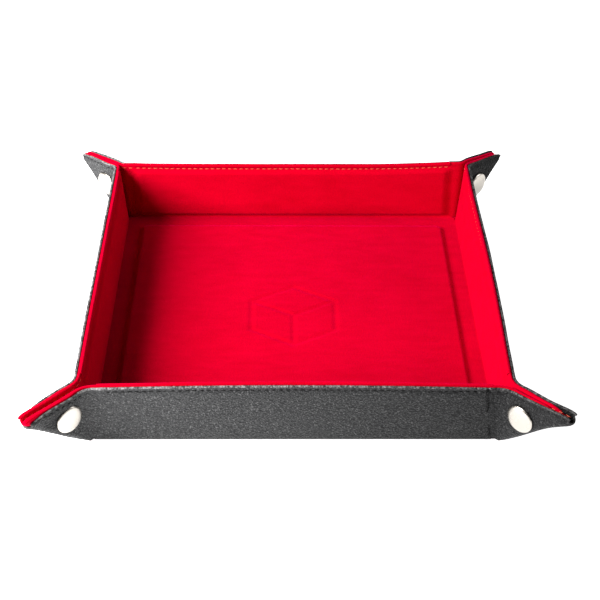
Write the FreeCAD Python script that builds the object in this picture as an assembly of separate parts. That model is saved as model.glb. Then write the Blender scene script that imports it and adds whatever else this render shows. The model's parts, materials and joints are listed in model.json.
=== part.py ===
import FreeCAD, Part
import math
import os

# Folding dice tray: a square sheet of grained leather and a square sheet of velvet, sewn
# together round the rim over five stiff boards.  Four wall panels fold up from the base, and
# the two halves of each corner are pinched together by a ring snap button.
#
# Frame: millimetres, +Z up, X and Y along the walls, origin at the centre of the underside.
# The walls stand up in this model, which is the rest pose.  Every wall is drawn lying flat,
# then turned up about its hinge, so the flat cut sizes are the driving ones.

Vector = FreeCAD.Vector

# ---- driving dimensions of the sheets -------------------------------------------------------
BASE_HALF = 92.7            # from the centre to each wall's fold line
WALL_RUN = 33.0             # from the fold line out to the rim of the flat square
SHEET_CORNER_RADIUS = 7.0   # rounded outer corner of the flat square
WALL_LEAN = 5.0             # degrees that a raised wall leans outward from upright
LEATHER = 1.4               # thickness of the outer sheet
VELVET = 1.6                # thickness of the lining with its pile
EAR_GAP = 0.2               # from each pinched lining face to the plane between them

# ---- boards -------------------------------------------------------------------------------
BASE_BOARD_HALF_X = 81.0
BASE_BOARD_HALF_Y = 79.2    # a little narrower from front to back
BASE_BOARD = 1.5            # thickness
WALL_BOARD_HALF = 85.5
WALL_BOARD_START = 4.6      # distance of the board's lower edge from the fold line
WALL_BOARD_END = 28.3
WALL_BOARD = 1.5            # thickness
BOARD_CORNER_RADIUS = 2.0

# ---- seam ---------------------------------------------------------------------------------
SEAM_RUN = 30.6             # distance of the seam from the fold line
SEAM_WIDTH = 0.5
SEAM_HEIGHT = 0.25          # how far the thread stands on the face

# ---- clearances ---------------------------------------------------------------------------
HINGE_CLEARANCE = 0.05      # between a rounded hinge end and the sheet that it meets
CREASE_CLEARANCE = 0.1      # between linings that meet at a crease, flat
LINING_START = 1.2          # the wall's lining begins this far from its fold line
BASE_LINING_SETBACK = 2.9   # the base's lining ends this far short of the fold line
DIAGONAL_SETBACK = 1.0      # each ear half ends this far from the diagonal fold
OPEN_CREASE_GAP = 1.5       # more room on a wall's other side, where no hinge holds the ear

# ---- snap button --------------------------------------------------------------------------
SNAP_OUT = 9.8              # centre, along the ear from the base's corner
SNAP_UP = 20.3              # centre, above the table
CAP_RADIUS = 6.5
CAP_RIM = 0.6               # thickness at the cap's edge
CAP_DOME = 1.9              # height at the cap's centre
POST_RADIUS = 1.5
POST_HOLE_RADIUS = 1.6
POST_REACH = 0.55           # the post passes this far beyond the leather
LINING_HOLE_RADIUS = 5.0
SOCKET_RADIUS = 4.8
SOCKET_DEPTH = 1.5          # standing on the leather's inner face
SOCKET_FLOOR = 0.5
SOCKET_MOUTH_RADIUS = 2.6
SOCKET_GROOVE_RADIUS = 3.6
SOCKET_LIP = 0.3            # thickness of the lip over the spring groove
SPRING_WIRE_RADIUS = 0.35
SPRING_SLOT = 1.6           # opening of the split ring
STUD_FLANGE_RADIUS = 4.6
STUD_FLANGE = 0.6
STUD_NECK_RADIUS = 1.75
STUD_HEAD_RADIUS = 2.0
STUD_HEAD = 0.7             # length of the wider head
STUD_HEIGHT = 2.7           # flange and head together

# ---- derived ------------------------------------------------------------------------------
SHEET_SIDE = 2 * (BASE_HALF + WALL_RUN)
LEAN = math.radians(WALL_LEAN)
FOLD_ANGLE = 90.0 - WALL_LEAN
HINGE_HEIGHT = LEATHER / 2
BARREL = LEATHER / 2
LINING_TOP = LEATHER + VELVET
MITRE_OFFSET = LEATHER / 2 + VELVET + EAR_GAP
CREASE_START = BASE_HALF - math.sqrt(2) * MITRE_OFFSET
CREASE_SLOPE = math.sin(LEAN)
EAR_ANGLE = math.degrees(math.acos(math.cos(LEAN) / math.sqrt(2)))
HINGE_POINT = Vector(0, -BASE_HALF, HINGE_HEIGHT)
CREASE_POINT = Vector(CREASE_START, -BASE_HALF, HINGE_HEIGHT)
CREASE_AXIS = Vector(CREASE_SLOPE, -1, 0).normalize()

OUT = Vector(1, -1, 0).normalize()        # along the front right ear, away from the tray
INWARD = Vector(1, 1, 0).normalize()      # from the front half's face to the plane between halves
CORNER = Vector(BASE_HALF, -BASE_HALF, 0)

X_AXIS = Vector(1, 0, 0)
Z_AXIS = Vector(0, 0, 1)

# Each wall is the front wall turned about Z.  The second name is the next wall round, which
# meets it in the corner that is at +x, -y when the wall is the front one.
WALLS = [
    ("front", 0, "right", "front_right"),
    ("right", 90, "back", "back_right"),
    ("back", 180, "left", "back_left"),
    ("left", 270, "front", "front_left"),
]


def flat(x, run, height):
    """A point of the front wall as it lies flat: along, out from the fold line, and up."""
    return Vector(x, -BASE_HALF - run, height)


def crease_x(run):
    """Where the crease between a wall and its ear lies, at this distance from the fold line."""
    return CREASE_START + CREASE_SLOPE * run


def plate(points, low, high):
    """A plate between two heights over a flat outline of (x, run) points."""
    corners = [flat(x, run, low) for x, run in points]
    outline = Part.makePolygon(corners + corners[:1])
    return Part.Face(outline).extrude(Vector(0, 0, high - low))


def box(half_x, half_y, low, high):
    """A box centred on the Z axis."""
    corner = Vector(-half_x, -half_y, low)
    return Part.makeBox(2 * half_x, 2 * half_y, high - low, corner)


def rounded_upright_edges(solid, radius):
    """The solid with the edges that run along Z rounded."""
    upright = [edge for edge in solid.Edges
               if abs(edge.Vertexes[0].Z - edge.Vertexes[-1].Z) > 0.5 * solid.BoundBox.ZLength]
    return solid.makeFillet(radius, upright)


def rod(start, end, radius):
    """A round rod from one point to another."""
    return Part.makeCylinder(radius, (end - start).Length, start, end - start)


def raised(shape):
    """A front wall piece turned up from flat to rest."""
    return shape.copy().rotate(HINGE_POINT, X_AXIS, -FOLD_ANGLE)


def raised_ear(shape):
    """A front right ear piece bent outward about its crease, then raised with the wall."""
    bent = shape.copy().rotate(CREASE_POINT, CREASE_AXIS, -EAR_ANGLE)
    return raised(bent)


# ---- base ---------------------------------------------------------------------------------
def base_leather():
    side = BASE_HALF - BARREL - HINGE_CLEARANCE
    return box(side, side, 0, LEATHER)


def base_board():
    board = box(BASE_BOARD_HALF_X, BASE_BOARD_HALF_Y, LEATHER, LEATHER + BASE_BOARD)
    return rounded_upright_edges(board, BOARD_CORNER_RADIUS)


def base_velvet():
    edge = BASE_HALF - BASE_LINING_SETBACK
    skirt = box(edge, edge, LEATHER, LINING_TOP)
    cover = box(BASE_BOARD_HALF_X + VELVET, BASE_BOARD_HALF_Y + VELVET,
                LEATHER, LINING_TOP + BASE_BOARD)
    cover = rounded_upright_edges(cover, BOARD_CORNER_RADIUS + VELVET)
    return skirt.fuse(cover).cut(base_board()).removeSplitter()


# ---- one wall, lying flat -----------------------------------------------------------------
def wall_outline(start, side_gap):
    """A wall's trapezium from a run of start out to the rim, side_gap inside its hinged crease.

    The ear at -x hangs on the next wall, so this wall leaves it the open crease's gap too.
    """
    low_x = crease_x(start) - side_gap
    high_x = crease_x(WALL_RUN) - side_gap
    return [(OPEN_CREASE_GAP - low_x, start), (low_x, start),
            (high_x, WALL_RUN), (OPEN_CREASE_GAP - high_x, WALL_RUN)]


def wall_leather():
    side_gap = BARREL + HINGE_CLEARANCE
    sheet = plate(wall_outline(0, side_gap), 0, LEATHER)
    barrel_x = crease_x(0) - side_gap
    barrel_start = flat(OPEN_CREASE_GAP - barrel_x, 0, HINGE_HEIGHT)
    barrel = rod(barrel_start, flat(barrel_x, 0, HINGE_HEIGHT), BARREL)
    return sheet.fuse(barrel).removeSplitter()


def wall_board():
    half = WALL_BOARD_HALF
    outline = [(-half, WALL_BOARD_START), (half, WALL_BOARD_START),
               (half, WALL_BOARD_END), (-half, WALL_BOARD_END)]
    board = plate(outline, LEATHER, LEATHER + WALL_BOARD)
    return rounded_upright_edges(board, BOARD_CORNER_RADIUS)


def wall_velvet():
    skirt = plate(wall_outline(LINING_START, CREASE_CLEARANCE), LEATHER, LINING_TOP)
    half = WALL_BOARD_HALF + VELVET
    low = WALL_BOARD_START - VELVET
    high = WALL_BOARD_END + VELVET
    cover = plate([(-half, low), (half, low), (half, high), (-half, high)],
                  LEATHER, LINING_TOP + WALL_BOARD)
    cover = rounded_upright_edges(cover, BOARD_CORNER_RADIUS + VELVET)
    return skirt.fuse(cover).cut(wall_board()).removeSplitter()


def wall_seam():
    """The rows of thread on the leather and on the lining, as two plain bars."""
    low = SEAM_RUN - SEAM_WIDTH / 2
    high = SEAM_RUN + SEAM_WIDTH / 2
    end = crease_x(low) - BARREL - OPEN_CREASE_GAP
    outline = [(-end, low), (end, low), (end, high), (-end, high)]
    outer = plate(outline, -SEAM_HEIGHT, 0)
    inner = plate(outline, LINING_TOP, LINING_TOP + SEAM_HEIGHT)
    return Part.makeCompound([outer, inner])


# ---- one ear half, lying flat at the front wall's right end ---------------------------------
def ear_outline(start, crease_gap):
    """Face from the crease out to the rounded corner and back along the diagonal fold."""
    setback = DIAGONAL_SETBACK * math.sqrt(2)
    arc_centre = WALL_RUN - SHEET_CORNER_RADIUS
    arc_end = math.radians(45) + math.asin(DIAGONAL_SETBACK / SHEET_CORNER_RADIUS)
    arc_middle = (math.radians(90) + arc_end) / 2

    def on_arc(angle):
        x = BASE_HALF + arc_centre + SHEET_CORNER_RADIUS * math.cos(angle)
        run = arc_centre + SHEET_CORNER_RADIUS * math.sin(angle)
        return flat(x, run, 0)

    low_crease = flat(crease_x(start) + crease_gap, start, 0)
    high_crease = flat(crease_x(WALL_RUN) + crease_gap, WALL_RUN, 0)
    arc_top = on_arc(math.radians(90))
    arc_tip = on_arc(arc_end)
    low_diagonal = flat(BASE_HALF + start - setback, start, 0)
    edges = [
        Part.makeLine(low_crease, high_crease),
        Part.makeLine(high_crease, arc_top),
        Part.Arc(arc_top, on_arc(arc_middle), arc_tip).toShape(),
        Part.makeLine(arc_tip, low_diagonal),
        Part.makeLine(low_diagonal, low_crease),
    ]
    return Part.Face(Part.Wire(edges))


def ear_plate(start, crease_gap, low, high):
    face = ear_outline(start, crease_gap)
    face.translate(Vector(0, 0, low))
    return face.extrude(Vector(0, 0, high - low))


def ear_leather():
    sheet = ear_plate(LINING_START, 0, 0, LEATHER)
    low = flat(crease_x(LINING_START), LINING_START, HINGE_HEIGHT)
    high = flat(crease_x(WALL_RUN), WALL_RUN, HINGE_HEIGHT)
    barrel = rod(low, high, BARREL)
    # The rod is square to the crease, so its ends are trimmed to the sheet's own.
    limits = plate([(BASE_HALF / 2, LINING_START), (2 * BASE_HALF, LINING_START),
                    (2 * BASE_HALF, WALL_RUN), (BASE_HALF / 2, WALL_RUN)], 0, LEATHER)
    return sheet.fuse(barrel).common(limits).removeSplitter()


def ear_velvet():
    return ear_plate(LINING_START, CREASE_CLEARANCE, LEATHER, LINING_TOP)


# ---- snap button of the front right corner, at rest -----------------------------------------
# Heights along a snap's axis are measured from the leather's inner face towards the other
# half, so the leather lies at negative heights.
INNER_FACE = VELVET + EAR_GAP


def snap_place(height):
    centre = CORNER + OUT * SNAP_OUT + Z_AXIS * SNAP_UP
    return centre + INWARD * (height - INNER_FACE)


def disc(low, high, radius):
    return rod(snap_place(low), snap_place(high), radius)


def snap_cap():
    """A domed cap outside the leather, with its rivet post passing inward."""
    rise = CAP_DOME - CAP_RIM
    sphere_radius = (CAP_RADIUS ** 2 + rise ** 2) / (2 * rise)
    sphere = Part.makeSphere(sphere_radius, snap_place(sphere_radius - LEATHER - CAP_DOME))
    blank = disc(-LEATHER - CAP_DOME, -LEATHER, CAP_RADIUS)
    post = disc(-LEATHER, POST_REACH, POST_RADIUS)
    return blank.common(sphere).fuse(post).removeSplitter()


def snap_socket():
    cup = disc(0, SOCKET_DEPTH, SOCKET_RADIUS)
    cup = cup.cut(disc(0, SOCKET_FLOOR, POST_HOLE_RADIUS))
    cup = cup.cut(disc(SOCKET_FLOOR, SOCKET_DEPTH - SOCKET_LIP, SOCKET_GROOVE_RADIUS))
    return cup.cut(disc(SOCKET_DEPTH - SOCKET_LIP, SOCKET_DEPTH, SOCKET_MOUTH_RADIUS))


def snap_spring():
    """The split wire ring that lies in the socket's groove."""
    ring_radius = SOCKET_GROOVE_RADIUS - SPRING_WIRE_RADIUS
    centre = snap_place(SOCKET_FLOOR + SPRING_WIRE_RADIUS)
    ring = Part.makeTorus(ring_radius, SPRING_WIRE_RADIUS, centre, INWARD)
    slot = Part.makeBox(SPRING_SLOT, SPRING_SLOT, 2 * ring_radius, Vector(0, 0, 0))
    slot.translate(centre - Vector(SPRING_SLOT / 2, SPRING_SLOT / 2, 0))
    return ring.cut(slot)


def snap_stud():
    flange = disc(0, STUD_FLANGE, STUD_FLANGE_RADIUS)
    neck = disc(STUD_FLANGE, STUD_HEIGHT - STUD_HEAD, STUD_NECK_RADIUS)
    head = disc(STUD_HEIGHT - STUD_HEAD, STUD_HEIGHT, STUD_HEAD_RADIUS)
    stud = flange.fuse(neck).fuse(head).removeSplitter()
    return stud.cut(disc(0, STUD_FLANGE, POST_HOLE_RADIUS))


# ---- assembly -----------------------------------------------------------------------------
def front_wall_nodes():
    """The front wall's own pieces, by name."""
    return {
        "leather": raised(wall_leather()),
        "board": raised(wall_board()),
        "velvet": raised(wall_velvet()),
        "seam": raised(wall_seam()),
    }


def near_half_nodes():
    """The half of the front right ear that hangs on the front wall.  It holds the socket."""
    post_hole = disc(-LEATHER, 0, POST_HOLE_RADIUS)
    lining_hole = disc(0, VELVET, LINING_HOLE_RADIUS)
    return {
        "leather": raised_ear(ear_leather()).cut(post_hole),
        "velvet": raised_ear(ear_velvet()).cut(lining_hole),
        "snap_cap": snap_cap(),
        "snap_socket": snap_socket(),
        "snap_spring": snap_spring(),
    }


def far_half_nodes(near):
    """The half against the right wall, folded over from the near half.  It holds the stud."""
    nodes = {name: near[name] for name in ("leather", "velvet", "snap_cap")}
    nodes["snap_stud"] = snap_stud()
    return {name: shape.mirror(Vector(0, 0, 0), INWARD) for name, shape in nodes.items()}


def turned(shape, angle):
    return shape.copy().rotate(Vector(0, 0, 0), Z_AXIS, angle)


def all_nodes():
    nodes = {
        "base_leather": base_leather(),
        "base_board": base_board(),
        "base_velvet": base_velvet(),
    }
    wall = front_wall_nodes()
    near = near_half_nodes()
    far = far_half_nodes(near)
    for wall_name, angle, next_name, corner in WALLS:
        groups = {
            f"{wall_name}_wall": wall,
            f"{corner}_ear_{wall_name}_half": near,
            f"{corner}_ear_{next_name}_half": far,
        }
        for group, pieces in groups.items():
            for name, shape in pieces.items():
                nodes[f"{group}_{name}"] = turned(shape, angle)
    return nodes


def main():
    os.makedirs("parts", exist_ok=True)
    for name, shape in all_nodes().items():
        if not shape.isValid() or not shape.Solids:
            raise ValueError(f"{name} is not a valid solid")
        shape.exportStep(f"parts/{name}.step")
        print(f"{name}: {len(shape.Solids)} solid(s), {shape.Volume:.1f} mm3")
    print(f"flat sheet {SHEET_SIDE:.1f} mm square")
    print(f"hinge at {BASE_HALF:.3f}, {HINGE_HEIGHT:.3f}; crease starts at {CREASE_START:.4f}")
    print(f"ear angle {EAR_ANGLE:.4f} degrees for a fold of {FOLD_ANGLE:.1f}")


main()
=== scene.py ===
import json
import math

import bmesh
import bpy
import numpy as np
from mathutils import Matrix, Vector


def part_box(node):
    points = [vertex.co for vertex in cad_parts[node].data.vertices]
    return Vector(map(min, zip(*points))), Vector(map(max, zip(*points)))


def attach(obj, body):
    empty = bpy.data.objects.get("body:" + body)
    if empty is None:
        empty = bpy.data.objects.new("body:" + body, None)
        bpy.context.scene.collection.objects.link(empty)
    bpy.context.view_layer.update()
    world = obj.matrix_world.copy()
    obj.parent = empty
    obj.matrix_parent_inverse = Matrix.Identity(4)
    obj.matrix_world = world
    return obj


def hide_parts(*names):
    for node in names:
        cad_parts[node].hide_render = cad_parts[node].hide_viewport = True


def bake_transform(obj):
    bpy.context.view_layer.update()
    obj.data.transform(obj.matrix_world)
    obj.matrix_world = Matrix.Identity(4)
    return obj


# Folding dice tray: velvet lining inside a grained leather skin, over stiff boards.  Lengths in
# this file are millimetres, and become metres where a mesh is made.
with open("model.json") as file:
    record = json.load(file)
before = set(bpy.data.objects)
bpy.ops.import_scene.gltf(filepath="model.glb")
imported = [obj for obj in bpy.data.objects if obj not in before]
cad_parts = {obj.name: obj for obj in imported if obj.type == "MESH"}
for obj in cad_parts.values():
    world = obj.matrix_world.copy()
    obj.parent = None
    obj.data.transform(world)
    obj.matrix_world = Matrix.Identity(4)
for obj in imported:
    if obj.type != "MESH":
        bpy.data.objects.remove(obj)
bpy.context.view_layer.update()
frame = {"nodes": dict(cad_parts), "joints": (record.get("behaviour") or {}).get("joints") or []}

MM = 0.001
JOINTS = {joint["name"]: joint for joint in frame["joints"]}
# each wall, its turn about the tray's middle, the wall after it, and the corner between them
WALLS = [("front", 0, "right", "front_right"), ("right", 90, "back", "back_right"),
         ("back", 180, "left", "back_left"), ("left", 270, "front", "front_left")]
WALL_NAMES, _, _, CORNER_NAMES = zip(*WALLS)


def from_frame(point):
    return np.array(point, float) / MM


def by_wall(*values):
    """One value for each wall: front, right, back, left."""
    return dict(zip(WALL_NAMES, values))


def by_corner(*values):
    """One value for each corner: front right, back right, back left, front left."""
    return dict(zip(CORNER_NAMES, values))


# ---- sizes taken from the frame ----------
HINGE = from_frame(JOINTS["front_wall_fold"]["pos_m"])
CREASE = from_frame(JOINTS["front_right_ear_crease"]["pos_m"])
CREASE_AXIS = np.array(JOINTS["front_right_ear_crease"]["axis"], float)
FOLD_AXIS_POINT = from_frame(JOINTS["front_right_ear_fold"]["pos_m"])
FOLD_AXIS = -np.array(JOINTS["front_right_ear_fold"]["axis"], float)
HALF = -HINGE[1]  # centre to fold line
MID = HINGE[2]  # height of the leather's mid-surface
SKIRT_TOP = 3.0  # top of the lining where no board is under it
BASE_TOP = from_frame(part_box("base_velvet")[1])[2]
BASE_BOARD_HALF_X, BASE_BOARD_HALF_Y = from_frame(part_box("base_board")[1])[:2]
WALL_BOARD_HALF = from_frame(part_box("front_wall_board")[1])[0]
CAP_BOX = [from_frame(corner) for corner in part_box("front_right_ear_front_half_snap_cap")]
SNAP_CENTRE = (CAP_BOX[0] + CAP_BOX[1]) / 2

# ---- sizes of the cut sheets -------------
WALL_RUN = 33.0  # fold line to rim
CORNER_RADIUS = 7.0  # of the flat sheet's outer corner
CORNER_CENTRE = HALF + WALL_RUN - CORNER_RADIUS
LEATHER = 2 * MID
VELVET = SKIRT_TOP - LEATHER
OUTER = -MID  # heights above the leather's mid-surface, towards the inside
BETWEEN = MID
INNER = MID + VELVET
CLEARANCE = 0.02  # between touching pieces, and off the table
WALL_BOARD = 1.5
WALL_BOARD_START = 4.6
WALL_BOARD_END = 28.3
BASE_BOARD_CORNER = 3.0
SEAM_RUN = 30.6  # fold line to seam
FOLD_ANGLE = math.radians(85)
EAR_OFFSET = 2.5  # leather mid-surface to the plane between an ear's halves
EAR_ANGLE = math.acos(math.sin(FOLD_ANGLE) / math.sqrt(2))
CREASE_SLOPE = math.cos(FOLD_ANGLE)
CREASE_ALONG = np.array([CREASE_SLOPE, 1.0]) / math.hypot(CREASE_SLOPE, 1)
CREASE_ACROSS = np.array([1.0, -CREASE_SLOPE]) / math.hypot(CREASE_SLOPE, 1)
INWARD = np.array([1.0, 1.0, 0.0]) / math.sqrt(2)  # across the front right ear
OUT = np.array([1.0, -1.0, 0.0]) / math.sqrt(2)  # along it, away from the tray

# ---- softness ----------------------------
BOTTOM_RADIUS = 1.6  # bend of the leather's mid-surface round the bottom edge
LEAST_RADIUS = 0.9  # of any lining bend
# radius of the bend between each ear's first half and its wall, at the foot and at the rim, and
# the runs between which it grows
CREASE_FOOT_RADIUS = 1.0
CREASE_RADII = by_corner(11.0, 4.5, 4.5, 14.0)
CREASE_GROWS = (0, 20)
# folds across the front skin past its board's ends: which end, depth and width
END_CREASES = ((-1, -0.3, 1.6), (1, 0.8, 0.6))
END_CREASE_PLACE = 87.2  # at the foot
END_CREASE_LEAN = 4.0  # towards the wall's middle, from foot to rim
CREASE_START = (1.75, 6.4)  # an ear's first half starts this far before its crease: foot, rim
CREASE_START_GROWS = (1, 16)
OPENED_CREASE_START = 0.2  # and its second half this far
CREASE_ZONE = (1.7, 2.4)  # what bends when the tray opens, before and after the crease
U_START = 2.0  # the diagonal fold's bend starts this far before the diagonal
BOWS = by_wall(-0.8, 1.1, 0.6, 0.0)
WALL_LIFTS = by_wall(-0.5, 0.0, 0.2, 0.0)  # of each rim's middle
CORNER_LIFTS = by_corner(-1.3, 2.3, 0.9, -1.3)  # of each rim's ends
EAR_DROOPS = by_corner(-1.8, 2.2, 1.5, 0.2)  # at DROOP_SPAN past DROOP_START
DROOP_START, DROOP_SPAN = 3.0, 20.0  # from the base's corner
# how far each ear's halves stand apart at the rim: first half, second half, and share at the tip
EAR_GAPES = by_corner((0.2, 0.8, 0.0), (0.4, 0.8, 0.3), (0.4, 0.8, 0.3), (1.6, 1.9, 0.8))
GAPE_INSIDE = 0.55  # share of the gape that the linings' own faces take
GAPE_HEIGHTS = (22, 32)  # heights, and distances from the base's corner, where the gape grows
GAPE_STARTS = (-1.5, 8)
GAPE_TIP = (8, 22)  # distances where it turns into the tip's share
# how far each ear's lining stops inside its leather, along the rim and at the tip, and how far
# its leather stops inside the cut sheet at the tip
LINING_SINKS = by_corner((0.4, 4.5), (0.4, 1.2), (0.4, 0.8), (0.0, 0.0))
LEATHER_SINKS = by_corner(0.0, 0.4, 0.8, 2.4)
# how far the rim of leather lies inside the lining's on each wall, and on each ear
LEATHER_SHORTS = by_wall(0.15, 0.15, 0.3, -0.35)
LEATHER_SHORT = 0.15
# curves in each ear's own plane: lift of the diagonal fold's middle, and stretch of the tip
FOLD_LIFTS = by_corner(1.8, 1.8, 1.1, 1.5)
FOLD_LIFT_ENDS = ((0, 7), (20, 35))
FOLD_LIFT_WIDTH = 9.0
TIP_STRETCHES = by_corner(2.4, -0.8, 0.0, 0.0)
TIP_STRETCH_ENDS = (16, 32)
FOOT_CURL = 0.9  # slope of an ear's foot off the table, from CURL_START on
CURL_START, CURL_SPAN = 1.3, 5.0
FOLD_FOOT_WIDTH = 0.35  # share of the diagonal fold's round edge at its foot, pressed flat
LEATHER_RIPPLE = 0.12
VELVET_RIPPLE = 0.10
RIM_PUFF = 0.5  # how much thicker the lining is at the rim
SEAM_DIP = 0.3
SEAM_WIDTH = 0.75
STITCH_PITCH = 3.1
STITCH_LENGTH = 2.2
THREAD_RADII = {"outside": 0.27, "inside": 0.18}
# the way out of the sheet on each side of the seam, and the height of its groove
SEAM_LEVELS = {"outside": (-1, OUTER + SEAM_DIP), "inside": (1, INNER - SEAM_DIP)}


# ---- shape of the folded sheet -----------
def smooth(low, high, value):
    """0 before low, 1 after high, and an S-curve between."""
    t = np.clip((value - low) / (high - low), 0, 1)
    return t * t * (3 - 2 * t)


def bend(along, height, angle, centre):
    """Points of a sheet after a bend of this angle towards an axis this high above it."""
    reach = centre * math.tan(angle / 2)
    turn = np.clip((along + reach) / (2 * reach), 0, 1) * angle
    before, past = np.minimum(along, -reach), np.maximum(along - reach, 0)
    return (before + (centre - height) * np.sin(turn) + past * np.cos(turn),
            centre - (centre - height) * np.cos(turn) + past * np.sin(turn))


def bottom_centre(height):
    """Height of the axis that the sheet bends round at the bottom edge."""
    return np.maximum(BOTTOM_RADIUS, LEAST_RADIUS + height)


def fold_up(run, height):
    """Outward and up, from the hinge, of points of a wall's sheet with its rounded bottom edge."""
    return bend(run, height, FOLD_ANGLE, bottom_centre(height))


def fold_rigid(run, height):
    """The same for a sheet that turns stiffly about the hinge."""
    return (run * math.cos(FOLD_ANGLE) - height * math.sin(FOLD_ANGLE),
            run * math.sin(FOLD_ANGLE) + height * math.cos(FOLD_ANGLE))


def bottom_reach(height):
    """How far the bottom bend reaches to each side of the fold line, at this height."""
    return bottom_centre(height) * math.tan(FOLD_ANGLE / 2)


def crease_x(run):
    return CREASE[0] + CREASE_SLOPE * run


def ear_start_x(run):
    """Where a wall's sheet ends and the ear's first half starts."""
    foot, rim = CREASE_START
    return crease_x(run) - (foot + (rim - foot) * smooth(*CREASE_START_GROWS, run)) / CREASE_ACROSS[0]


def opened_start_x(run):
    """Where an ear's second half starts: its crease, opened from the next wall."""
    return crease_x(run) - OPENED_CREASE_START


def bow(wall, x, run):
    """Outward bulge of a wall's middle, none at its ends or at its foot."""
    across = np.cos(np.clip(x / HALF, -1, 1) * math.pi / 2) ** 2
    return BOWS[wall] * across * np.clip(run / WALL_RUN, 0, 1) ** 1.3


def climb(run):
    """Share of a rim's own displacement at this distance from the fold line."""
    return np.clip(run / WALL_RUN, 0, 1.1) ** 1.5


def wall_lift(wall, x, run):
    """How far a wall's soft sheets stand above their even shape."""
    place = WALL_NAMES.index(wall)
    after, before = (CORNER_LIFTS[CORNER_NAMES[k]] for k in (place, place - 1))
    middle = WALL_LIFTS[wall]
    share = np.clip(np.abs(x) / ear_start_x(run), 0, 1) ** 3
    return (middle + (np.where(x > 0, after, before) - middle) * share) * climb(run)


def wall_points(wall, x, run, height):
    out, up = fold_up(run, height)
    y = -HALF - out - bow(wall, x, run)
    return np.stack(np.broadcast_arrays(x, y, MID + up + wall_lift(wall, x, run)), -1)


def crease_distance(x, run):
    return (x - CREASE[0]) * CREASE_ACROSS[0] + run * CREASE_ACROSS[1]


def bent_ear(x, run, height, rim_radius):
    """Flat points of the ear, turned outward round the softened crease: x, run, height."""
    along = (x - CREASE[0]) * CREASE_ALONG[0] + run * CREASE_ALONG[1]
    across = crease_distance(x, run)
    radius = CREASE_FOOT_RADIUS + (rim_radius - CREASE_FOOT_RADIUS) * smooth(*CREASE_GROWS, run)
    new_across, down = bend(across, -height, EAR_ANGLE, radius)
    new_x = CREASE[0] + along * CREASE_ALONG[0] + new_across * CREASE_ACROSS[0]
    new_run = along * CREASE_ALONG[1] + new_across * CREASE_ACROSS[1]
    return new_x, new_run, -down


def fold_up_ear(x, run, new_run, new_height):
    """A rigid turn about the hinge, easing into the bottom bend where the ear meets the wall."""
    rigid = np.maximum(smooth(0.5, 1, run / bottom_reach(0)),
                       smooth(-0.5, 1.5, crease_distance(x, run)))
    soft, stiff = fold_up(new_run, new_height), fold_rigid(new_run, new_height)
    return [a + (b - a) * rigid for a, b in zip(soft, stiff)]


def ear_points(corner, x, run, height):
    """Points of an ear's first half at rest, with its corner turned to the front right."""
    new_x, new_run, new_height = bent_ear(x, run, height, CREASE_RADII[corner])
    out, up = fold_up_ear(x, run, new_run, new_height)
    points = np.stack([new_x, -HALF - out, MID + up], -1)
    away = from_corner(points)
    points[..., 2] += CORNER_LIFTS[corner] * climb(run)
    drooping = np.clip(away - DROOP_START, 0, None) / DROOP_SPAN
    points[..., 2] -= EAR_DROOPS[corner] * drooping ** 1.2
    above_fold = np.maximum(run - x + HALF, 0)
    rise, fall = FOLD_LIFT_ENDS
    middle = smooth(*rise, away) * (1 - smooth(*fall, away))
    points[..., 2] += FOLD_LIFTS[corner] * middle * np.exp(-(above_fold / FOLD_LIFT_WIDTH) ** 2)
    points += (TIP_STRETCHES[corner] * smooth(*TIP_STRETCH_ENDS, away))[..., None] * OUT
    return off_table(points, height)


def from_corner(points):
    """Distance along the ear from the base's corner."""
    return points @ OUT - math.sqrt(2) * HALF


def off_table(points, height):
    """Keeps the foot of an ear on the table, curling up outward like the fold above it."""
    least = CLEARANCE + 0.5 * np.maximum(height + MID, 0)
    curl = FOOT_CURL * np.clip(from_corner(points) - CURL_START, 0, CURL_SPAN)
    points[..., 2] = np.maximum(points[..., 2], least + curl)
    return points


def gape(corner, points, turn, share):
    """Points of an ear with its halves let apart towards the rim; turn runs from 0 to pi."""
    near, far, at_tip = EAR_GAPES[corner]
    away = from_corner(points)
    amount = smooth(*GAPE_HEIGHTS, points[..., 2]) * (1 + (at_tip - 1) * smooth(*GAPE_TIP, away))
    amount = share * amount * smooth(*GAPE_STARTS, away)
    swing = (1 - np.cos(turn)) / 2
    return points + (amount * (far * swing - near * (1 - swing)))[..., None] * INWARD


def u_points(corner, x, run, height, turn):
    """Points round the diagonal fold, starting from flat points a little before the diagonal."""
    start = ear_points(corner, x, run, np.zeros_like(x))
    beyond = np.cross(FOLD_AXIS, INWARD)
    beyond = beyond * np.sign(beyond @ OUT)
    radius = EAR_OFFSET - height
    side = radius * np.sin(turn) * (FOLD_FOOT_WIDTH + (1 - FOLD_FOOT_WIDTH) * smooth(0, 9, run))
    depth = EAR_OFFSET - radius * np.cos(turn)
    points = start + side[..., None] * beyond + depth[..., None] * INWARD
    return off_table(points, height)


def mirrored(points):
    """The same points on the other side of the plane between the ear's halves."""
    return points - 2 * (points @ INWARD)[..., None] * INWARD


def turned(points, degrees):
    c, s = math.cos(math.radians(degrees)), math.sin(math.radians(degrees))
    return points @ np.array([[c, -s, 0], [s, c, 0], [0, 0, 1]]).T


# ---- meshes ------------------------------
SHARP_ANGLE = math.radians(50)
MERGE_DISTANCE = 2e-6  # metres


def add_object(name, data):
    obj = bpy.data.objects.new(name, data)
    bpy.context.scene.collection.objects.link(obj)
    return obj


def new_object(name, vertices, faces, material, rim=None):
    """A mesh in the scene; rim says which of its points are a sheet's cut edge."""
    mesh = bpy.data.meshes.new(name)
    mesh.from_pydata((np.asarray(vertices) * MM).tolist(), [], faces)
    mesh.validate()
    if rim is not None:
        mesh.attributes.new("rim", "FLOAT", "POINT").data.foreach_set("value", rim)
    mesh.materials.append(material)
    finish_mesh(mesh)
    return add_object(name, mesh)


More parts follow.
